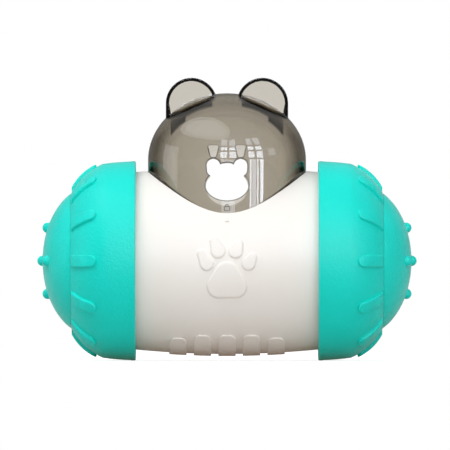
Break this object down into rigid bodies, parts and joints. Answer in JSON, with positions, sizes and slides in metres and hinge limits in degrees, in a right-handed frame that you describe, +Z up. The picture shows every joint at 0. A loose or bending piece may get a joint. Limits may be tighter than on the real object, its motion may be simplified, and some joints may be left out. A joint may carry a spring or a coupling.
{
  "type": "treat dispensing toy",
  "caption": "Rolling pet treat dispenser: weighted white barrel between free-turning teal wheels, with a smoky bear-head hopper dome that twists out of its top to fill.",
  "frame": {"origin": "the point on the floor under the middle of the toy", "axes": "+X along the wheel axle, -Y towards the front with the paw print, +Z up"},
  "size_m": [0.1702, 0.0894, 0.1267],
  "materials": {
    "white_plastic": "satin moulded plastic",
    "teal_plastic": "matte moulded plastic with a fine grain",
    "smoky_plastic": "clear smoky plastic, polished",
    "screw_steel": "bright zinc",
    "weight_steel": "plain milled"
  },
  "bodies": {
    "barrel_body": {"barrel": "white_plastic", "left_end_plate": "white_plastic", "right_end_plate": "white_plastic", "treat_tray": "white_plastic", "weight_cover": "white_plastic", "counterweight": "weight_steel", "left_axle_screw": "screw_steel", "right_axle_screw": "screw_steel", "left_plate_screw_1": "screw_steel", "left_plate_screw_2": "screw_steel", "left_plate_screw_3": "screw_steel", "right_plate_screw_1": "screw_steel", "right_plate_screw_2": "screw_steel", "right_plate_screw_3": "screw_steel", "weight_screw_1": "screw_steel", "weight_screw_2": "screw_steel", "weight_screw_3": "screw_steel", "weight_screw_4": "screw_steel", "left_washer": "screw_steel", "right_washer": "screw_steel"},
    "left_wheel_body": {"left_wheel": "teal_plastic", "left_hub_cap": "teal_plastic"},
    "right_wheel_body": {"right_wheel": "teal_plastic", "right_hub_cap": "teal_plastic"},
    "hopper_body": {"hopper_dome": "smoky_plastic", "left_ear": "smoky_plastic", "right_ear": "smoky_plastic"}
  },
  "joints": [
    {"name": "left_wheel_spin", "type": "hinge", "parent": "barrel_body", "child": "left_wheel_body", "pos_m": [-0.05, 0, 0.0447], "axis": [1, 0, 0], "continuous": true},
    {"name": "right_wheel_spin", "type": "hinge", "parent": "barrel_body", "child": "right_wheel_body", "pos_m": [0.05, 0, 0.0447], "axis": [1, 0, 0], "continuous": true},
    {"name": "dome_turn", "type": "hinge", "parent": "barrel_body", "child": "hopper_body", "pos_m": [0, 0, 0.06], "axis": [0, 0, 1], "range_deg": [0, 25]}
  ]
}
